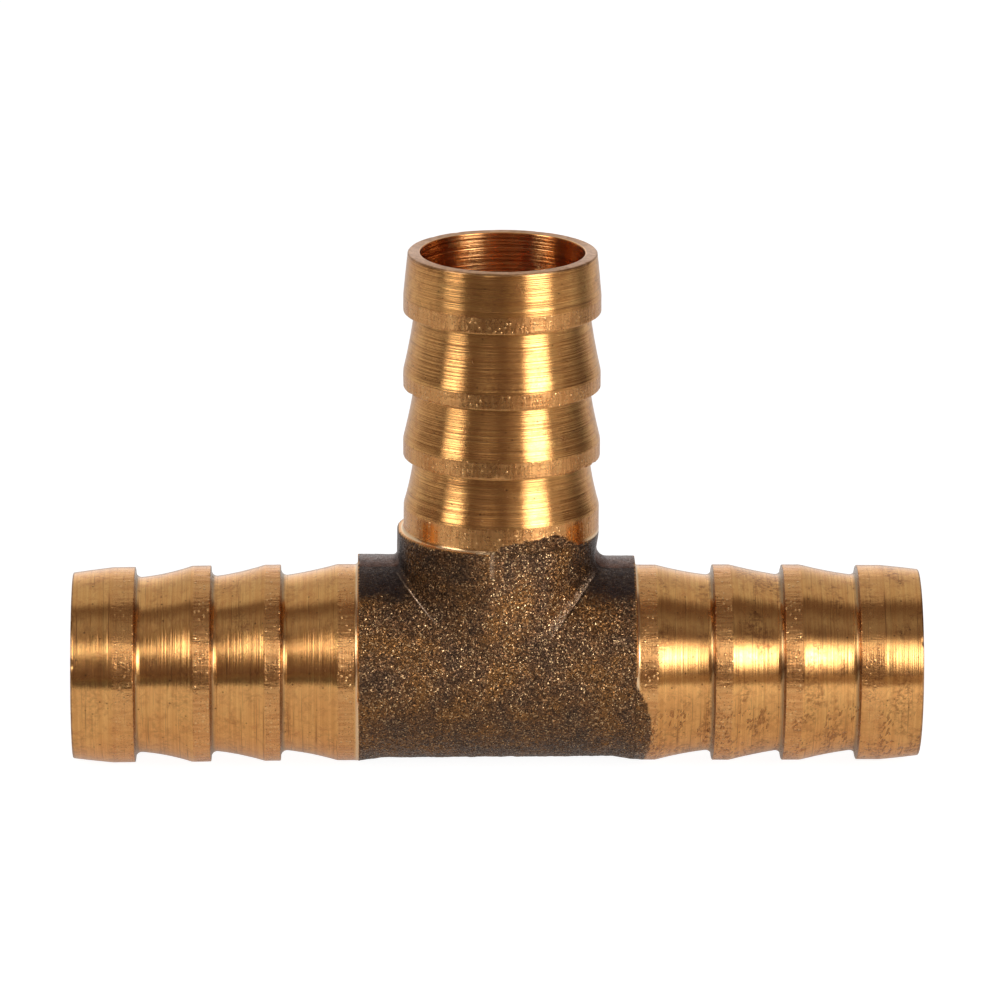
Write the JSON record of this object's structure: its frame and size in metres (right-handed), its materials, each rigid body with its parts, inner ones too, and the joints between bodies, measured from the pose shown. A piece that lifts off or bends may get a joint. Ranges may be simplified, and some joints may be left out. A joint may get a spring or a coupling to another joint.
{
  "type": "barbed tee connector",
  "caption": "Brass equal tee for 19 mm (3/4 in) hose, with a rough hot-formed middle and a turned, barbed stem on each arm.",
  "frame": {"origin": "point of the run's axis midway between the two end faces of the run", "axes": "+X along the straight-through run, towards the right stem; +Z parallel to the branch, towards its end face; Y across the tee"},
  "size_m": [0.085, 0.0204, 0.0523],
  "materials": {
    "turned_brass": "bright turned brass with fine tool marks, worn and slightly pitted on the crests",
    "rough_brass_skin": "dark oxidised, grainy as-formed brass skin"
  },
  "bodies": {
    "root": {"rough_tee_body": "rough_brass_skin", "left_barb_stem": "turned_brass", "right_barb_stem": "turned_brass", "branch_barb_stem": "turned_brass"}
  },
  "joints": []
}
